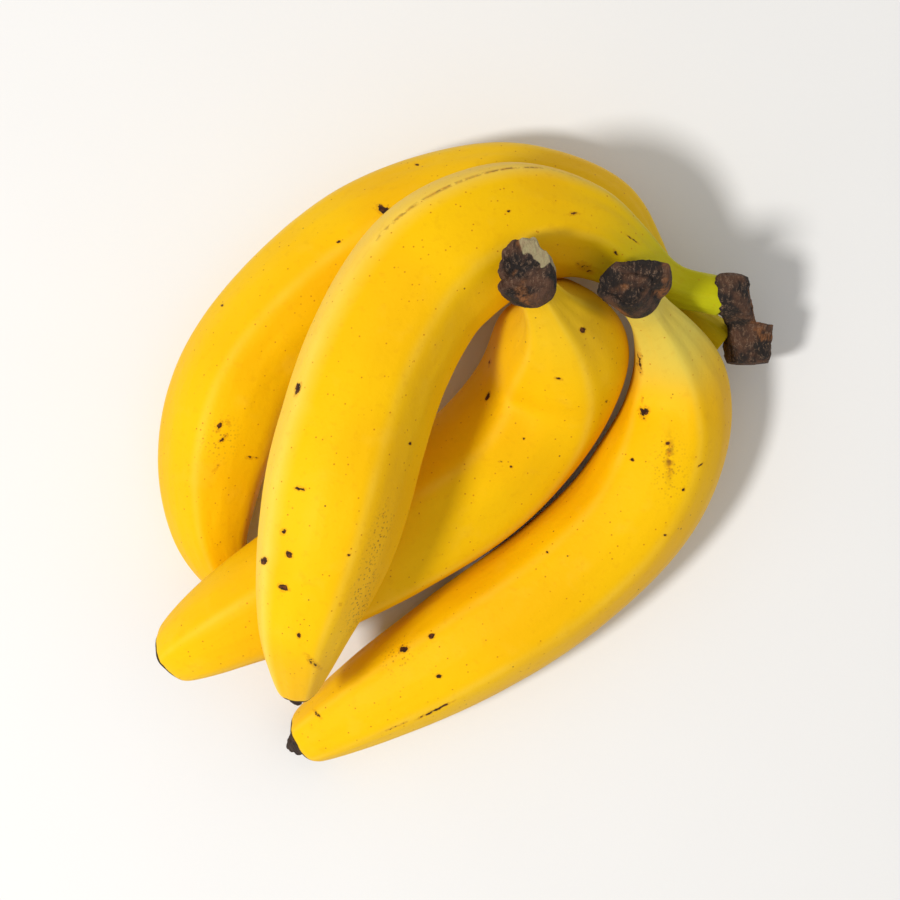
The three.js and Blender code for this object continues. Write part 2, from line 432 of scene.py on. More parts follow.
@dataclass(frozen=True)
class PeelFinish:
    """Ripe peel: yellow with paler ridges and a painted sheen along the outer side, a greener neck,
    freckles, marks and worn ridges.
    """

    yellow: Colour = (0.87, 0.505, 0.001)
    deep: Colour = (0.81, 0.41, 0.001)
    # pale yellow for the ridge crests, the random pale clouds and the painted sheen along the outer
    # side
    pale: Colour = (0.90, 0.60, 0.075)
    neck: Colour = (0.46, 0.46, 0.008)
    brown: Colour = (0.17, 0.050, 0.012)
    # the darkest colour of the marks: bruises, and one painted shadow spot
    bruise_and_shadow: Colour = (0.030, 0.012, 0.010)
    rust: Colour = (0.50, 0.16, 0.004)
    black: Colour = (0.018, 0.013, 0.011)
    neck_strength: float = 0.8
    broad_size: float = 38.0
    cloud_size: float = 9.0
    warp_size: float = 2.2
    grain_size: float = 1.1
    speck_cell: float = 2.3
    freckle_cell: float = 6.5
    band_cell: float = 0.95
    tint: tuple[float, float, float, float] = (1.0, 0.8, 0.35, 1.0)

    def material(self, name: str) -> bpy.types.Material:
        """Build the peel.

        Args:
            name: the material's name.

        Returns:
            The material.
        """
        tree = Tree(name)
        cloudy = tree.noise(self.cloud_size, 3.0)
        fine = tree.noise(self.grain_size, 2.0)
        warp = tree.noise(self.warp_size, 3.0)
        colour = self.ground(tree, cloudy)
        colour = self.speckled(tree, colour, fine, warp)
        colour, dark = self.marked(tree, colour, fine, warp)
        roughness = 0.46 + 0.16 * cloudy + 0.25 * dark
        pores = tree.bump(fine, 0.05)
        ripples = tree.bump(cloudy, 0.22, pores)
        normal = tree.bump(dark, 0.12, ripples)
        fixed = {"Specular IOR Level": 0.2, "Specular Tint": self.tint}
        tree.finish(colour, roughness, normal, fixed)
        return tree.material

    def ground(self, tree: Tree, cloudy: Value) -> Any:
        """Yellow drifting to a deeper yellow, paler on the ridges, with a painted sheen along the
        outer side, and greener on the neck.

        Args:
            tree: the material's tree.
            cloudy: noise of middling size.

        Returns:
            The colour's socket.
        """
        broad = tree.noise(self.broad_size, 1.0)
        colour = tree.mix(broad.over(0.38, 0.68) * 0.55, self.yellow, self.deep)
        # paler ridge crests, and a painted sheen along the outer side
        colour = tree.mix(tree.field("pale") * (0.55 + 0.5 * cloudy), colour, self.pale)
        colour = tree.mix(cloudy.over(0.55, 0.75) * 0.08, colour, self.pale)
        green = tree.field("neck") * (0.65 + 0.6 * (broad - 0.5)) * self.neck_strength
        return tree.mix(green.over(0.0, 1.0), colour, self.neck)

    def speckled(self, tree: Tree, colour: Any, fine: Value, warp: Value) -> Any:
        """Add worn ridges, faint specks, sparse freckles and bands of close freckles.

        Args:
            tree: the material's tree.
            colour: the colour so far.
            fine: fine noise.
            warp: broader noise, which breaks edges up.

        Returns:
            The colour's socket.
        """
        worn = tree.field("worn") * warp.over(0.38, 0.52)
        colour = tree.mix(worn * 0.9, colour, tree.mix(fine.over(0.4, 0.6), self.rust, self.brown))
        speck, luck = tree.dots(self.speck_cell)
        speck = (1.0 - speck.over(0.06, 0.15)) * luck.over(0.3, 0.55)
        colour = tree.mix(speck * 0.8, colour, self.rust)
        colour = tree.mix(warp.over(0.55, 0.75) * 0.10, colour, self.rust)
        freckle, luck = tree.dots(self.freckle_cell)
        freckle = (1.0 - freckle.over(0.028, 0.055)) * luck.over(0.35, 0.5)
        colour = tree.mix(freckle * 0.85, colour, self.brown)
        close, luck = tree.dots(self.band_cell)
        close = tree.field("freckled") * ((1.0 - close.over(0.26, 0.42)) * luck.over(0.18, 0.32))
        return tree.mix(close * 0.9, colour, self.brown)

    def marked(self, tree: Tree, colour: Any, fine: Value, warp: Value) -> tuple[Any, Value]:
        """Add the dark marks with their rusty rims (one of them a painted shadow spot on the inner
        finger's neck), and the dark round the blossom end.

        Args:
            tree, colour, fine, warp: as in speckled.

        Returns:
            The colour's socket, and how dark and dry each point is.
        """
        edge = tree.field("mark") + (warp - 0.5) * 1.1 + (fine - 0.5) * 0.5
        halo = (edge.over(0.12, 0.45) - edge.over(0.45, 0.6)) * tree.field("mark").over(0.08, 0.3)
        colour = tree.mix(halo * 0.4, colour, self.rust)
        spot = edge.over(0.5, 0.62)
        colour = tree.mix(spot, colour, tree.mix(fine.over(0.45, 0.8), self.bruise_and_shadow, self.brown))
        tip = (tree.field("tip") + (warp - 0.5) * 0.5).over(0.35, 0.6)
        colour = tree.mix(tip, colour, tree.mix(fine.over(0.5, 0.8), self.black, self.brown))
        return colour, spot.most(tip)


@dataclass(frozen=True)
class BarkFinish:
    """Dried crown tissue: near black with torn brown fibres and paler fresh tissue in places."""

    dark: Colour = (0.014, 0.009, 0.007)
    brown: Colour = (0.085, 0.038, 0.020)
    fibre: Colour = (0.26, 0.16, 0.10)
    fresh: Colour = (0.42, 0.40, 0.20)
    rust: Colour = (0.24, 0.085, 0.02)
    rustiness: float = 0.8
    lump_size: float = 6.0
    rust_size: float = 9.0
    strand_size: float = 0.8
    strand_stretch: tuple[float, float, float] = (1.0, 0.45, 1.0)
    grit_size: float = 0.3

    def material(self, name: str) -> bpy.types.Material:
        """Build the bark.

        Args:
            name: the material's name.

        Returns:
            The material.
        """
        tree = Tree(name)
        lumps = tree.noise(self.lump_size, 5.0)
        strands = tree.noise(self.strand_size, 5.0, self.strand_stretch)
        grit = tree.noise(self.grit_size, 3.0)
        colour = tree.mix(lumps.over(0.42, 0.62), self.dark, self.brown)
        rusty = tree.noise(self.rust_size, 2.0).over(0.56, 0.68) * strands.over(0.3, 0.6)
        colour = tree.mix(rusty * self.rustiness, colour, self.rust)
        fibres = strands.over(0.5, 0.62) * grit.over(0.42, 0.6)
        colour = tree.mix(fibres * (0.15 + 0.4 * tree.field("fibrous")), colour, self.fibre)
        fresh = (tree.field("fresh") + (lumps - 0.5) * 0.5).over(0.35, 0.6)
        colour = tree.mix(fresh * 0.9, colour, tree.mix(strands, self.fresh, self.fibre))
        normal = tree.bump(grit, 0.25, tree.bump(strands, 0.6))
        tree.finish(colour, 0.72 + 0.2 * grit, normal, {"IOR": 1.4})
        return tree.material


# ---- fingers


class MarkKind(Enum):
    """What a mark on the peel is: the field it writes to."""

    BRUISE_AND_SHADOW = "mark"
    FRECKLES = "freckled"
    WORN = "worn"


@dataclass(frozen=True)
class Mark:
    """A mark on the side of a finger that faces up, placed in plan from the view's centre.

    x, y, length and width are millimetres; turn is the angle of its length from +X, degrees.
    """

    x: float
    y: float
    length: float
    width: float
    turn: float = 0.0
    strength: float = 1.0
    kind: MarkKind = MarkKind.BRUISE_AND_SHADOW

    def cover(self, plan: np.ndarray) -> np.ndarray:
        """How much the mark covers: strength * exp(-MARK_FALL * stretched distance squared).

        Args:
            plan: x and y of points, shape (..., 2).

        Returns:
            The cover, shape (...).
        """
        angle = np.radians(self.turn)
        across = plan - (np.array([self.x, self.y]) + VIEW_CENTRE[:2])
        along = across[..., 0] * np.cos(angle) + across[..., 1] * np.sin(angle)
        aside = across[..., 1] * np.cos(angle) - across[..., 0] * np.sin(angle)
        far = (along / (self.length / 2)) ** 2 + (aside / (self.width / 2)) ** 2
        return self.strength * np.exp(-MARK_FALL * far)


@dataclass
class Finger:
    """One banana. Lengths are millimetres; the bend's points are x, y and underside height."""

    node: str
    span: float
    body: float
    tip: float
    tip_taper: float
    tip_fullness: float
    stalk: float
    stalk_length: float
    neck_length: float
    bend: Points
    seed: int
    shift: tuple[float, float, float] = (0.0, 0.0, 0.0)
    lean: tuple[float, float] = (0.0, 0.0)
    lies: bool = True
    marks: Sequence[Mark] = ()
    worn_ridges: Sequence[int] = ()
    ridge_turn: float = 0.0
    turn_length: float = 30.0
    relax_rows: int = 7
    # how strong the painted sheen along the outer side is
    outer_sheen: float = 0.5
    finish: PeelFinish = field(default_factory=PeelFinish)
    rows: int = 400
    around: int = 220

    def __post_init__(self) -> None:
        """Work out the centreline, the frame at every row and the place among the others."""
        self.curve = catmull_rom(self.sized_bend(), CURVE_SAMPLES)
        self.length = float(np.linalg.norm(np.diff(self.curve, axis=0), axis=1).sum())
        self.stations = self.ring_stations()
        self.noise = SmoothNoise(self.seed)
        self.centres = self.centre(self.stations)
        self.axes = self.ring_axes()
        tip, middle, end = self.centre(np.array([0.0, MIDDLE_SHARE, 1.0]) * self.length)
        bend_axis = unit(np.cross(middle - tip, end - middle))
        self.outward = unit(np.cross(self.axes, bend_axis))
        self.sideways = np.cross(self.axes, self.outward)
        self.upward = float(self.sideways[:, 2].sum())
        self.grid = self.skin()
        place = VIEW_CENTRE + np.array(self.shift)
        self.grid += place
        self.centres += place
        if self.lies:
            self.grid[..., 2] = np.maximum(self.grid[..., 2], 0.0)

    def sized_bend(self) -> Points:
        """The bend's points, drawn out in plan from the stalk's end until the ends are span apart."""
        ends = np.array([self.bend[0][:2], self.bend[-1][:2]])
        scale = self.span / np.linalg.norm(ends[1] - ends[0])
        return [
            (*(ends[1] + (np.array(point[:2]) - ends[1]) * scale), point[2])
            for point in self.bend
        ]

    def ring_stations(self) -> np.ndarray:
        """Distance of each ring from the tip: closer together on the dome, even after it."""
        dome_rows = self.rows // DOME_PART
        turn = np.linspace(DOME_START, 1.0, dome_rows, endpoint=False) * np.pi / 2
        rest = np.linspace(DOME_LENGTH, self.length, self.rows - dome_rows)
        return np.concatenate([DOME_LENGTH * (1 - np.cos(turn)), rest])

    def ring_axes(self) -> np.ndarray:
        """Direction of the centreline at each ring; facing is where the ring's plane faces.

        The facing is the direction averaged over turn_length by a Hann window, and the axes are
        averaged over half of that. The averaging spreads a tight turn over more rings, so that
        neighbours never cross.

        Returns:
            Unit vectors, shape (rows, 3).
        """
        at = np.arange(0.0, self.length + AXIS_STEP, AXIS_STEP)
        axes = unit(self.centre(at + AXIS_REACH) - self.centre(at - AXIS_REACH))
        half = int(self.turn_length / AXIS_STEP / 2)
        self.facing = self.softened(axes, at, half)
        return self.softened(axes, at, half // 2)

    def softened(self, axes: np.ndarray, at: np.ndarray, half: int) -> np.ndarray:
        """Average directions by a Hann window.

        Args:
            axes: directions at even steps, shape (steps, 3).
            at: their distances from the tip.
            half: half the window's width, in steps.

        Returns:
            The averaged unit directions at the rings, shape (rows, 3).
        """
        window = hann(half)
        padded = np.pad(axes, ((half, half), (0, 0)), mode="edge")
        soft = np.stack(
            [np.convolve(padded[:, k], window / window.sum(), "valid") for k in range(3)], axis=1
        )
        return unit(np.stack([np.interp(self.stations, at, soft[:, k]) for k in range(3)], axis=1))

    def full_radius(self, distance: np.ndarray) -> np.ndarray:
        """Radius without the dome.

        With w = sin(90 deg * share of tip_taper) ^ tip_fullness, the body is tip + (body - tip) * w.
        It narrows smoothly to the stalk over the neck's length.

        Args:
            distance: distances from the tip.

        Returns:
            The radius at each.
        """
        swell = np.sin(np.clip(distance / self.tip_taper, 0, 1) * np.pi / 2) ** self.tip_fullness
        necked = (self.length - distance - self.stalk_length) / self.neck_length
        fill = smooth_rise(np.clip(necked, 0, 1) ** NECK_POWER, 0.0, 1.0)
        return self.stalk + (self.tip + (self.body - self.tip) * swell - self.stalk) * fill

    def centre(self, distance: np.ndarray) -> np.ndarray:
        """Centres: the bend, raised by the radius and drawn aside over the neck by the lean.

        Args:
            distance: distances from the tip, shape (n,).

        Returns:
            The centres, shape (n, 3).
        """
        at = np.clip(distance, 0.0, self.length)
        along = np.linspace(0.0, self.length, len(self.curve))
        point = np.stack([np.interp(at, along, self.curve[:, k]) for k in range(3)], axis=1)
        point[:, 2] += self.full_radius(at)
        neck_start = self.length - self.stalk_length - self.neck_length
        point[:, :2] += smooth_rise(at, neck_start, self.length)[:, None] * np.array(self.lean)
        return point

    def skin(self) -> np.ndarray:
        """Rings of skin points: radius times one plus a five-fold wave sharpened at its crests.

        A point is the centre plus an offset square to the centreline, slid along the centreline
        into the ring's plane. The wave is cos(5a) with about a quarter of cos(10a), higher on the
        neck and fading at the stalk's end. Slow noise makes it wander and breaks up the evenness
        of the body.

        Returns:
            The points, shape (rows, around, 3).
        """
        shape = (self.rows, self.around)
        angle = np.linspace(0.0, 2 * np.pi, self.around, endpoint=False)[None, :]
        along = self.stations[:, None]
        circle = (along / NOISE_RUN, np.cos(angle), np.sin(angle))
        circle = np.stack([np.broadcast_to(part, shape) for part in circle], axis=-1)
        wander = WANDER * self.noise(circle + 3.0, 0.8)
        self.angle = angle + wander - np.radians(self.ridge_turn)
        neck = smooth_rise(along, self.length - self.neck_length, self.length - STUB_START)
        stub = smooth_rise(along, self.length - STUB_START, self.length - STUB_END)
        rise = (RIDGE_RISE + NECK_RISE * neck) * (1.0 - STUB_FADE * stub)
        wave = np.cos(RIDGE_COUNT * self.angle) + SECOND_WAVE * np.cos(2 * RIDGE_COUNT * self.angle)
        left = np.clip(1.0 - along / DOME_LENGTH, 0.0, 1.0)
        dome = np.sqrt(1.0 - left**DOME_POWER)
        base = (self.full_radius(along) - SKIN_INSET) * dome
        lumps = BROAD_LUMPS * self.noise(circle, 0.55, 2) + SMALL_LUMPS * self.noise(circle, 0.12, 2)
        reach = base * (1.0 + rise * wave) + (lumps - LUMP_INSET) * dome
        self.crest = np.broadcast_to(np.clip(wave / (1.0 + SECOND_WAVE), 0.0, 1.0), shape)
        square = (reach * np.cos(angle))[..., None] * self.outward[:, None, :]
        square += (reach * np.sin(angle))[..., None] * self.sideways[:, None, :]
        ahead = (square * self.facing[:, None, :]).sum(-1, keepdims=True)
        slant = (self.axes * self.facing).sum(-1)[:, None, None]
        slide = self.axes[:, None, :] * ahead / slant
        return self.relaxed(self.centres[:, None, :] + square - slide)

    def relaxed(self, grid: np.ndarray) -> np.ndarray:
        """Average the grid across its rows by a Hann window, past the middle of the finger only.

        It rounds the fold that a tight turn leaves on its inner side.

        Args:
            grid: the skin's points, shape (rows, around, 3).

        Returns:
            The relaxed points.
        """
        half = self.relax_rows // 2
        window = hann(half)
        padded = np.pad(grid, ((half, half), (0, 0), (0, 0)), mode="edge")
        soft = sum(weight * padded[k : k + self.rows] for k, weight in enumerate(window))
        share = smooth_rise(self.stations, *(part * self.length for part in RELAX_SHARES))
        share *= smooth_rise(self.stations, *(self.length - from_end for from_end in RELAX_ENDS))
        return grid + share[:, None, None] * (soft / window.sum() - grid)

    def fields(self) -> dict[str, np.ndarray]:
        """Values for the finish: how pale (ridge crests, and a painted sheen along the outer side),
        worn, green, dark, freckled and bruised (one mark is a painted shadow spot) each point is.

        Returns:
            Named arrays of shape (rows, around).
        """
        along = np.broadcast_to(self.stations[:, None], (self.rows, self.around))
        wild = self.noise(self.grid, 9.0, 2)
        ridge = self.crest**PALE_SHARPNESS
        # painted sheen: a pale band along the finger's outer side, standing in for grazing light on
        # that side
        sheen_band = smooth_rise(np.cos(self.angle + 0.5 * np.sign(self.upward)), 0.72, 0.9)
        values = {
            "pale": np.clip(0.3 * ridge * (0.8 + 0.4 * wild) + self.outer_sheen * sheen_band, 0, 1),
            "worn": self.worn(along, wild),
            "neck": smooth_rise(along, *(self.length - from_end for from_end in NECK_GREEN)),
            "tip": smooth_rise(along + 0.9 * wild, *TIP_DARK),
            "freckled": np.zeros_like(ridge),
            "mark": np.zeros_like(ridge),
        }
        facing_up = (self.grid[..., 2] > self.centres[:, None, 2]).astype(float)
        for mark in self.marks:
            cover = mark.cover(self.grid[..., :2]) * facing_up
            values[mark.kind.value] = np.maximum(values[mark.kind.value], cover)
        return values

    def worn(self, along: np.ndarray, wild: np.ndarray) -> np.ndarray:
        """How rubbed the worn ridges' crests are, between half and four fifths of the length."""
        number = np.round(self.angle / (2 * np.pi / RIDGE_COUNT)).astype(int) % RIDGE_COUNT
        worn = np.isin(number, self.worn_ridges) * self.crest**WORN_SHARPNESS
        share = along / self.length
        worn *= smooth_rise(share, 0.5, 0.62) * smooth_rise(share, 0.8, 0.7)
        return worn * smooth_rise(wild, -0.7, 0.3)

    def build(self) -> bpy.types.Object:
        """Make the finger's mesh, dress it and stand it for its solid."""
        name = self.node.replace("finger", "banana")
        peel = self.finish.material(f"peel_{self.node}")
        piece = closed_mesh(name, self.grid, self.fields(), peel)
        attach(piece, "root")
        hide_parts(self.node)
        return piece


# ---- dark, dried pieces


@dataclass
class BlossomEnd:
    """The dried rest of the flower on a finger's tip: a short, shrunken, wrinkled stub."""

    finger: Finger
    radius: float
    length: float
    seed: int
    root: float = 1.6  # how far it starts inside the tip
    lowest: float = 0.05  # it never reaches the floor
    last_ring: float = 0.985  # share of the length at which the closing fan starts
    wrinkles: float = 0.35
    rows: int = 36
    around: int = 60

    def build(self, finish: bpy.types.Material) -> bpy.types.Object:
        """Make the stub and dress it in its finish.

        At share s of its length the radius is radius * sqrt(1 - s^2.2) * (1 - s / 4), times three
        broad folds and seven narrow ones that twist; noise wrinkles it.
        """
        start = self.finger.centres[0]
        axis = -self.finger.axes[0]
        turn = np.linspace(0, 2 * np.pi, self.around, endpoint=False)[None, :]
        share = np.linspace(0.0, self.last_ring, self.rows)[:, None]
        folds = 1.0 + 0.12 * np.cos(3 * turn + 1.0) + 0.08 * np.cos(7 * turn + 6 * share)
        reach = self.radius * np.sqrt(1.0 - share**2.2) * folds * (1.0 - 0.25 * share)
        height = np.broadcast_to(-self.root + (self.length + self.root) * share, reach.shape)
        turned = np.stack([reach * np.cos(turn), reach * np.sin(turn)])
        grid = around_axis(start, axis, unit(np.cross(UP, axis)), height, turned)
        noise = SmoothNoise(self.seed)
        grid = grid + self.wrinkles * noise(grid, 1.6, 3)[..., None] * unit(grid - start + 1e-6)
        grid[..., 2] = np.maximum(grid[..., 2], self.lowest)
        name = self.finger.node.replace("finger", "blossom_end")
        piece = closed_mesh(name, grid, {"fibrous": 0.0, "fresh": 0.0}, finish)
        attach(piece, "root")
        return piece


@dataclass
class TornPiece:
    """The rough block of crown left on a torn-off stalk.

    outline gives angle in degrees and radius in millimetres, seen from the torn end with +X to
    the right. fresh gives the angle of the side where pale tissue shows, and how much. aside
    moves the block in plan. Each row of profile is a height as a share of the depth, a reach from
    the stalk's radius (0) to the outline (1), and how rough that ring is; from the rim on, the
    reach is a share of the outline itself.
    """

    node: str
    finger: Finger
    outline: Sequence[tuple[float, float]]
    depth: float
    fresh: tuple[float, float] = (0.0, 0.0)
    seed: int = 21
    aside: tuple[float, float] = (0.0, 0.0)
    rows: int = 150
    around: int = 260
    rim: int = 6  # the profile's row at the rim
    roughness: float = 0.55
    face_roughness: float = 1.1
    jagged: float = 0.9
    profile: Sequence[tuple[float, float, float]] = (
        (-0.14, 0.06, 0.0), (-0.10, 0.12, 0.1), (0.12, 0.5, 0.2), (0.42, 0.9, 0.6),
        (0.75, 1.03, 1.0), (0.97, 1.0, 1.0), (1.0, 0.88, 1.0), (0.88, 0.72, 1.0),
        (0.8, 0.5, 1.0), (0.84, 0.3, 1.0), (0.8, 0.12, 1.0), (0.79, 0.03, 1.0),
    )

    def grid(self) -> np.ndarray:
        """Rings up the outside of the block, over its rim and down into the torn face.

        A ring's height and reach follow the profile, from the stalk's radius to the outline.
        Noise roughens it, more at the rim than where it leaves the stalk.

        Returns:
            The points, shape (rows, around, 3).
        """
        end = self.finger.centres[-1] + np.array([*self.aside, 0.0])
        axis = self.finger.axes[-1]
        first = unit(np.array([1.0, 0.0, 0.0]) - axis[0] * axis)
        turn = np.linspace(-np.pi, np.pi, self.around, endpoint=False)
        outer = self.rounded_outline(turn)[None, :]
        steps = np.linspace(0, len(self.profile) - 1.0, self.rows)
        shape = np.array(self.profile)
        height, reach, own = (
            np.interp(steps, np.arange(len(shape)), shape[:, column])[:, None]
            for column in range(3)
        )
        past_rim = steps[:, None] > self.rim
        stalk = np.full((1, self.around), self.finger.stalk)
        radius = np.where(past_rim, outer * reach, stalk + (outer - stalk) * reach)
        height = np.broadcast_to(height * self.depth, radius.shape)
        turned = np.stack([radius * np.cos(turn), radius * np.sin(turn)])
        grid = around_axis(end, axis, first, height, turned)
        noise = SmoothNoise(self.seed)
        torn = self.face_roughness * past_rim * noise(grid, 5.0, 3)
        rough = (self.roughness * noise(grid, 3.2, 4) + torn) * own
        away = unit(grid - (end + 0.45 * self.depth * axis))
        drawn_out = grid * np.array([1.0, 1.0, 0.2])
        jagged = self.jagged * noise(drawn_out, 2.4, 2) * smooth_rise(reach, 0.5, 1.0)
        self.turn = np.broadcast_to(turn, radius.shape)
        self.face = np.broadcast_to(past_rim, radius.shape).astype(float)
        self.high = height / self.depth
        self.reach = np.broadcast_to(reach, radius.shape)
        return grid + rough[..., None] * away + (jagged * own)[..., None] * axis

    def rounded_outline(self, turn: np.ndarray) -> np.ndarray:
        """The outline's radius at each angle, its corners softened over five neighbours."""
        given = sorted(self.outline)
        angles = [angle for angle, _ in given]
        radii = [radius for _, radius in given]
        outer = np.interp(np.degrees(turn), angles, radii, period=360.0)
        soft = np.array([1.0, 2.0, 3.0, 2.0, 1.0]) / 9.0
        return np.convolve(np.concatenate([outer[-2:], outer, outer[:2]]), soft, "valid")

    def build(self, finish: bpy.types.Material) -> bpy.types.Object:
        """Make the block, keep it in its solid's height, and dress it in its finish."""
        grid = self.grid()
        _, high = (np.array(corner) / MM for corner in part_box(self.node))
        grid[..., 2] = np.minimum(grid[..., 2], high[2])
        side = np.cos(self.turn - np.radians(self.fresh[0]))
        fresh = self.fresh[1] * smooth_rise(side, 0.55, 0.8) * smooth_rise(self.high, 0.1, 0.4)
        fresh *= np.where(self.face > 0.5, smooth_rise(self.reach, 0.45, 0.65), 1.0)
        fields = {"fibrous": self.face, "fresh": fresh}
        name = self.node.replace("torn_crown", "torn_piece")
        piece = closed_mesh(name, grid, fields, finish)
        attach(piece, "root")
        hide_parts(self.node)
        return piece


@dataclass
class Crown:
    """The dark crown that two stalks share: a high block and a low block with a waist between.

    Each station is y, middle x, half width, middle z and half height, in millimetres from the
    low corner of its solid's box.
    """

    stations: Sequence[tuple[float, float, float, float, float]] = (
        (26.5, 4.4, 1.4, 22.5, 2.0), (26.1, 4.3, 3.2, 22.5, 4.6), (25.2, 4.3, 4.7, 22.7, 6.2),
        (23.0, 4.2, 5.6, 22.8, 6.8), (19.5, 4.5, 5.7, 22.4, 7.0), (15.8, 4.9, 5.8, 21.2, 6.8),
        (14.6, 6.6, 4.6, 19.5, 6.2), (13.4, 7.6, 4.2, 17.0, 6.2), (12.7, 8.2, 4.4, 15.0, 6.4),
        (12.0, 11.4, 6.9, 11.5, 6.8), (6.5, 11.5, 7.0, 9.0, 7.2), (2.5, 11.4, 6.9, 8.0, 7.2),
        (1.2, 11.2, 6.1, 8.0, 6.4), (0.7, 11.0, 3.0, 8.0, 3.5),
    )
    squareness: float = 3.4
    past_solid: float = 2.0  # how far it may reach past its solid's box, over the stalk
    lump_height: float = 0.65
    grain_height: float = 0.38
    inset: float = 0.25
    seed: int = 33
    rows: int = 260
    around: int = 240

    def grid(self) -> np.ndarray:
        """Rings across y, each a rounded square |x|^n + |z|^n = 1, roughened by noise.

        Returns:
            The points, shape (rows, around, 3).
        """
        low, _ = (np.array(corner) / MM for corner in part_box("crown"))
        shape = np.array(self.stations)
        run = np.concatenate([[0.0], np.cumsum(np.hypot(*np.diff(shape[:, [0, 2]], axis=0).T))])
        at = np.linspace(0, run[-1], self.rows)
        y, middle_x, half_x, middle_z, half_z = (
            np.interp(at, run, shape[:, column])[:, None] for column in range(5)
        )
        turn = np.linspace(0, 2 * np.pi, self.around, endpoint=False)[None, :]
        power = 2.0 / self.squareness
        across = np.sign(np.cos(turn)) * np.abs(np.cos(turn)) ** power
        upward = np.sign(np.sin(turn)) * np.abs(np.sin(turn)) ** power
        x = middle_x + half_x * across
        z = middle_z + half_z * upward
        grid = low + np.stack([x, np.broadcast_to(y, x.shape), z], axis=-1)
        noise = SmoothNoise(self.seed)
        centre = low + np.stack([middle_x, y, middle_z], axis=-1)
        away = unit(grid - centre)
        fibres = grid * np.array([1.0, 0.5, 1.0])
        rough = self.lump_height * noise(grid, 4.5, 2) + self.grain_height * noise(fibres, 1.1, 2)
        return grid + (rough - self.inset)[..., None] * away

    def build(self, finish: bpy.types.Material) -> bpy.types.Object:
        """Make the crown inside its solid's box and dress it in its finish."""
        low, high = (np.array(corner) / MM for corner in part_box("crown"))
        grid = np.clip(self.grid(), low - np.array([self.past_solid, 0.0, 0.0]), high)
        piece = closed_mesh("shared_crown", grid, {"fibrous": 1.0, "fresh": 0.0}, finish)
        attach(piece, "root")
        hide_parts("crown")
        return piece


# ---- the bunch's own pieces


def outer_finger() -> Finger:
    """The finger that lies furthest out, under the top one."""
    return Finger(
        node="finger_outer", span=162.7, body=18.4, tip=5.0, tip_taper=62.0, tip_fullness=0.8,
        stalk=5.8, stalk_length=18.0, neck_length=66.0, seed=11, ridge_turn=4.0,
        shift=(0.0, 0.0, -0.55),
        bend=(
            (-66.5, -39, 2), (-70.5, -22, 2), (-69, 0, 1), (-60, 25, 0), (-43, 46, 0),
            (-21.5, 62.5, 0), (5, 71.5, 0.5), (27, 72, 2), (44, 67.5, 6.5), (54, 57, 10.5),
            (64.5, 44.5, 11), (79.5, 33, 11),
        ),
        marks=(
            Mark(-19, 69.5, 6.5, 2.6, -25), Mark(-10, 83.5, 1.4, 1.0), Mark(-32, 60.5, 1.2, 1.0),
            Mark(-66, 8.0, 5.0, 1.6, 70, 0.75), Mark(-63.5, 9.5, 1.6, 4.0, 10, 0.6),
            Mark(-65, 4.5, 4.0, 1.4, 40, 0.7), Mark(-67.5, -4.5, 5.0, 1.6, 55, 0.55),
            Mark(-57.5, -1.0, 4.5, 0.9, -8, 0.9), Mark(-66, 43, 1.3, 1.0),
            Mark(-66, 4, 12, 9, 60, 0.5, MarkKind.FRECKLES),
        ),
    )


def inner_finger() -> Finger:
    """The torn-off finger inside the bend, whose stalk stands up beside the top finger."""
    return Finger(
        node="finger_inner", span=148.0, body=20.6, tip=5.8, tip_taper=90.0, tip_fullness=0.55,
        stalk=5.8, stalk_length=9.0, neck_length=61.0, seed=12, ridge_turn=-18.0, relax_rows=44,
        turn_length=60.0, outer_sheen=0.15, shift=(0.15, -0.35, -1.76), lean=(0.44, -0.70),
        finish=PeelFinish(neck=(0.62, 0.50, 0.035), neck_strength=0.5),
        bend=(
            (-82, -58.5, 19), (-66, -49, 16.5), (-44, -37, 11.5), (-18, -22, 5.5), (7, -6, 1.5),
            (24, 12.5, 1.5), (30.5, 26.5, 10), (30, 34, 29), (27, 39, 53), (20.5, 48, 73),
        ),
        marks=(
            Mark(10.5, 16.5, 3.4, 1.3, 65, 0.9), Mark(11, 26, 2.6, 0.9, 80, 0.7),
            Mark(30, 21, 3.2, 0.9, -15, 0.8), Mark(20.5, 4.5, 1.2, 1.0), Mark(17, -3.5, 1.2, 0.9),
            # Mark(36, 34) is a painted shadow spot: the shade where the neck meets the body on its
            # right side
            Mark(36, 34, 2.6, 2.2, 0, 0.75), Mark(44, 15, 1.1, 1.0), Mark(14, -2, 1.3, 0.9),
        ),
    )


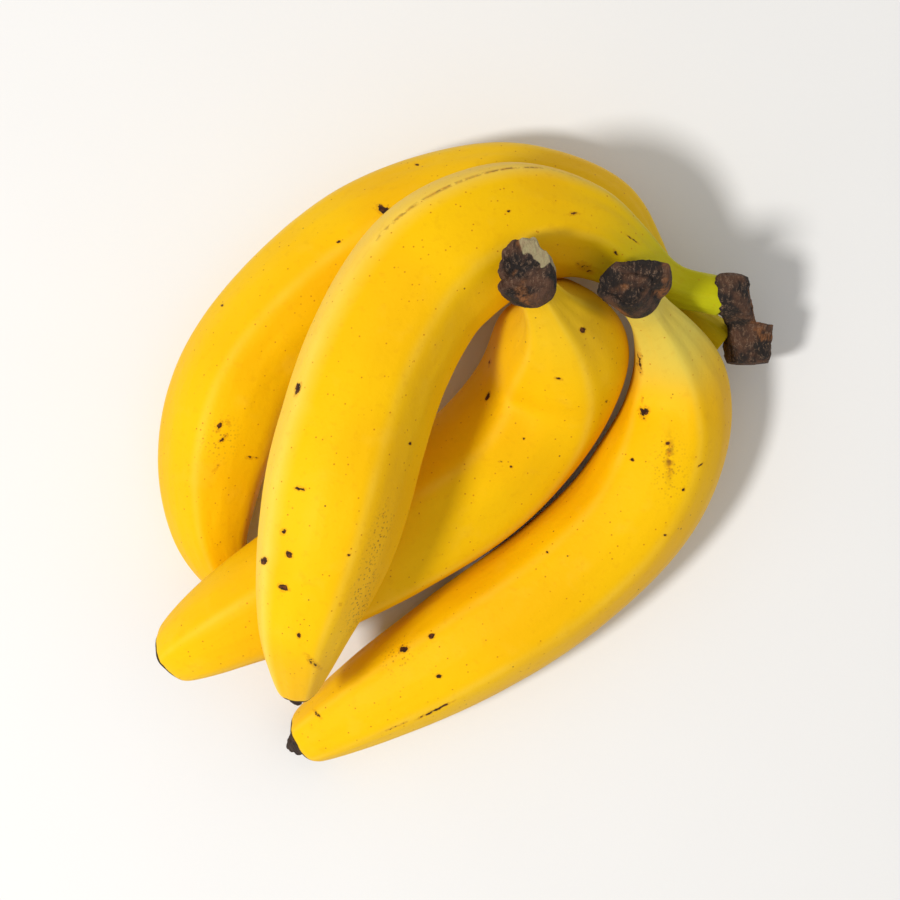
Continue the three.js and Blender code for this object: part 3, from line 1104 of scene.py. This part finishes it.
def right_finger() -> Finger:
    """The torn-off finger on the right, its neck against the top finger's neck."""
    return Finger(
        node="finger_right", span=161.0, body=18.5, tip=7.0, tip_taper=85.0, tip_fullness=0.7,
        stalk=6.3, stalk_length=8.0, neck_length=78.0, seed=13, lean=(0.56, -0.98),
        turn_length=44.0, ridge_turn=-15.0, outer_sheen=0.7, shift=(-0.30, 0.61, -1.38),
        relax_rows=24,
        finish=PeelFinish(neck=(0.58, 0.56, 0.13), neck_strength=1.0),
        bend=(
            (-44.5, -86, 4), (-24, -73.5, 3.5), (2, -58, 1.5), (31, -38.5, 1), (52.5, -18, 2),
            (64, 4, 5), (65.5, 21, 13), (60, 33.5, 31), (51, 44, 54),
        ),
        marks=(
            Mark(55, 12, 3.4, 4.4, 0, 0.8), Mark(54.5, 15.5, 1.4, 3.0, 0, 0.5),
            Mark(62, -1, 2.2, 11, 0, 0.95, MarkKind.WORN), Mark(61.5, 3, 1.6, 2.0, 0, 0.7),
            Mark(51.5, -1.5, 1.6, 1.3), Mark(66, -10, 1.3, 1.2), Mark(71, -3, 2.4, 0.9, 35),
            Mark(61, -23, 1.2, 1.0), Mark(27.5, -28, 1.2, 1.0), Mark(-5.5, -52, 2.4, 1.8, 20),
            Mark(-13.5, -56, 3.2, 2.2, 20), Mark(-3.5, -63.5, 2.2, 1.6),
            Mark(-28, -58, 7, 2.0, 25, 0.5), Mark(-38.5, -75.5, 4.5, 1.2, -40, 0.8),
            Mark(53.5, 26, 1.6, 8.0, 10, 0.6), Mark(62, -4, 10, 16, 0, 0.45, MarkKind.FRECKLES),
            Mark(-4.4, -73.6, 12.0, 1.1, 27, 0.85), Mark(-16, -78.6, 12.0, 0.9, 24, 0.5),
            Mark(-15, -58, 10, 7, 35, 0.6, MarkKind.FRECKLES),
        ),
    )


def top_finger() -> Finger:
    """The finger that lies across the others."""
    return Finger(
        node="finger_top", span=165.0, body=20.6, tip=4.5, tip_taper=68.0, tip_fullness=0.8,
        stalk=6.0, stalk_length=12.0, neck_length=80.0, seed=14, lies=False, worn_ridges=(0,),
        ridge_turn=24.0, outer_sheen=0.75, shift=(0.0, 0.0, -0.51),
        finish=PeelFinish(neck=(0.40, 0.44, 0.006), neck_strength=1.2),
        bend=(
            (-43, -68, 39.5), (-42.6, -61, 41.3), (-40.6, -47, 44.6), (-34.6, -23.5, 46.6),
            (-28, 4, 45), (-19.5, 29, 41.5), (-5.5, 51, 39), (16, 63.5, 37.5), (35, 63, 36),
            (47.5, 57, 34.5), (61, 49, 30.5), (77, 45.5, 26),
        ),
        marks=(
            Mark(-41.0, 17.6, 1.9, 4.6, -18), Mark(-40, -9, 4.2, 1.3, -10, 0.9),
            Mark(-44.5, -20.5, 2.2, 1.7, 40), Mark(-43, -26.5, 2.4, 2.0, -30),
            Mark(-50, -28.5, 2.6, 2.2), Mark(-44.5, -35.5, 4.0, 2.2, -20), Mark(-41, -48.5, 1.5, 2.2),
            Mark(-37.5, -56.5, 7, 2.0, -50, 0.65), Mark(-29.5, -40, 1.1, 1.0),
            Mark(-27, -26.5, 1.1, 1.0), Mark(-11, 3, 1.1, 1.0), Mark(15.5, 65.5, 1.2, 1.0),
            Mark(33, 65.5, 7, 1.4, 5, 0.5), Mark(37, 52, 8, 3.0, -20, 0.5),
            Mark(45.5, 55.5, 2.6, 1.1, -40, 0.8), Mark(50.5, 59.5, 4.4, 0.8, -30, 0.8),
            Mark(-24.0, -38.5, 5, 24, -14, 1.0, MarkKind.FRECKLES),
            Mark(-19, -21.5, 4, 14, -15, 0.9, MarkKind.FRECKLES),
        ),
    )


def inner_torn_piece(finger: Finger) -> TornPiece:
    """The piece of crown on the inner finger, with pale tissue on its upper right."""
    outline = (
        (-158, 6.2), (-153, 8.4), (-144, 9.0), (-125, 8.7), (-103, 8.8), (-81, 9.7), (-46, 9.8),
        (-17, 7.6), (19, 7.7), (55, 7.2), (70, 9.1), (87, 9.6), (111, 8.4), (136, 8.5), (148, 7.1),
        (176, 7.6),
    )
    return TornPiece("torn_crown_inner", finger, outline, 9.6, (50.0, 0.9), 21, (0.9, -1.7))


def right_torn_piece(finger: Finger) -> TornPiece:
    """The piece of crown on the right finger, drawn out to the right."""
    outline = (
        (-170, 8.9), (-152, 7.6), (-121, 7.0), (-84, 8.2), (-47, 7.0), (-26, 7.0), (-20, 8.0),
        (-14, 10.2), (-6, 11.0), (3, 11.5), (13, 12.0), (27, 10.2), (45, 7.9), (70, 6.3), (98, 6.0),
        (118, 7.6), (143, 8.0),
    )
    return TornPiece("torn_crown_right", finger, outline, 8.8, (-60.0, 0.25), 22)


# ---- surroundings


@dataclass
class Studio:
    """A pale floor, one large soft key light from the left, a white fill and the camera."""

    camera_height: float = 0.7  # metres, as are all the studio's lengths but the lens
    camera_over: tuple[float, float] = (-0.0043, 0.0008)
    lens: float = 93.3
    key_watts: float = 18.5
    key_size: float = 0.26
    key_from: tuple[float, float, float] = (-0.77, -0.29, 1.38)
    key_colour: Colour = (1.0, 0.99, 0.975)
    fill: float = 0.56
    floor_side: float = 1.5
    floor_pale: Colour = (0.80, 0.79, 0.775)
    floor_dim: Colour = (0.78, 0.77, 0.755)

    def floor(self) -> None:
        """A wide pale plane just under the bunch."""
        side = self.floor_side
        mesh = bpy.data.meshes.new("floor")
        corners = [(-side, -side, 0), (side, -side, 0), (side, side, 0), (-side, side, 0)]
        mesh.from_pydata(corners, [], [(0, 1, 2, 3)])
        piece = bpy.data.objects.new("floor", mesh)
        bpy.context.scene.collection.objects.link(piece)
        tree = Tree("pale_floor")
        colour = tree.mix(tree.noise(60.0), self.floor_pale, self.floor_dim)
        tree.finish(colour, 0.7, tree.bump(tree.noise(1.0), 0.02), {})
        mesh.materials.append(tree.material)

    def light(self) -> None:
        """The key light, turned to the bunch, and the even white surroundings."""
        lamp = bpy.data.lights.new("key", "AREA")
        lamp.shape = "DISK"
        lamp.size = self.key_size
        lamp.energy = self.key_watts
        lamp.color = self.key_colour
        holder = bpy.data.objects.new("key", lamp)
        holder.location = self.key_from
        direction = -unit(np.array(self.key_from))
        holder.rotation_euler = Vector(direction).to_track_quat("-Z", "Y").to_euler()
        bpy.context.scene.collection.objects.link(holder)
        world = bpy.data.worlds.new("surroundings")
        world.use_nodes = True
        back = world.node_tree.nodes["Background"]
        back.inputs[0].default_value = (1.0, 1.0, 1.0, 1.0)
        back.inputs[1].default_value = self.fill
        bpy.context.scene.world = world

    def camera(self) -> None:
        """The camera, straight above, looking down with +Y up the picture."""
        data = bpy.data.cameras.new("camera")
        data.lens = self.lens
        holder = bpy.data.objects.new("camera", data)
        holder.location = (*self.camera_over, self.camera_height)
        bpy.context.scene.collection.objects.link(holder)
        bpy.context.scene.camera = holder


def main() -> None:
    """Build the surroundings, then every piece of the bunch, and log how many points each piece has.
    """
    logging.basicConfig(level=logging.INFO, format="%(message)s")
    bpy.context.scene.view_settings.view_transform = "Standard"
    studio = Studio()
    studio.camera()
    studio.floor()
    studio.light()
    bark = BarkFinish().material("dried_crown")
    shrunken = BarkFinish(brown=(0.05, 0.028, 0.018), fibre=(0.10, 0.07, 0.05), rustiness=0.0)
    blossom = shrunken.material("blossom")
    outer, inner, right, top = outer_finger(), inner_finger(), right_finger(), top_finger()
    pieces = [finger.build() for finger in (outer, inner, right, top)]
    ends = (
        BlossomEnd(outer, radius=3.2, length=2.2, seed=41),
        BlossomEnd(inner, radius=3.8, length=1.7, seed=42),
        BlossomEnd(right, radius=4.5, length=4.4, seed=43),
        BlossomEnd(top, radius=3.8, length=1.7, seed=44),
    )
    pieces += [end.build(blossom) for end in ends]
    dried = (Crown(), inner_torn_piece(inner), right_torn_piece(right))
    pieces += [piece.build(bark) for piece in dried]
    for piece in pieces:
        LOG.info("%s: %d points", piece.name, len(piece.data.vertices))


if __name__ == "__main__":
    main()
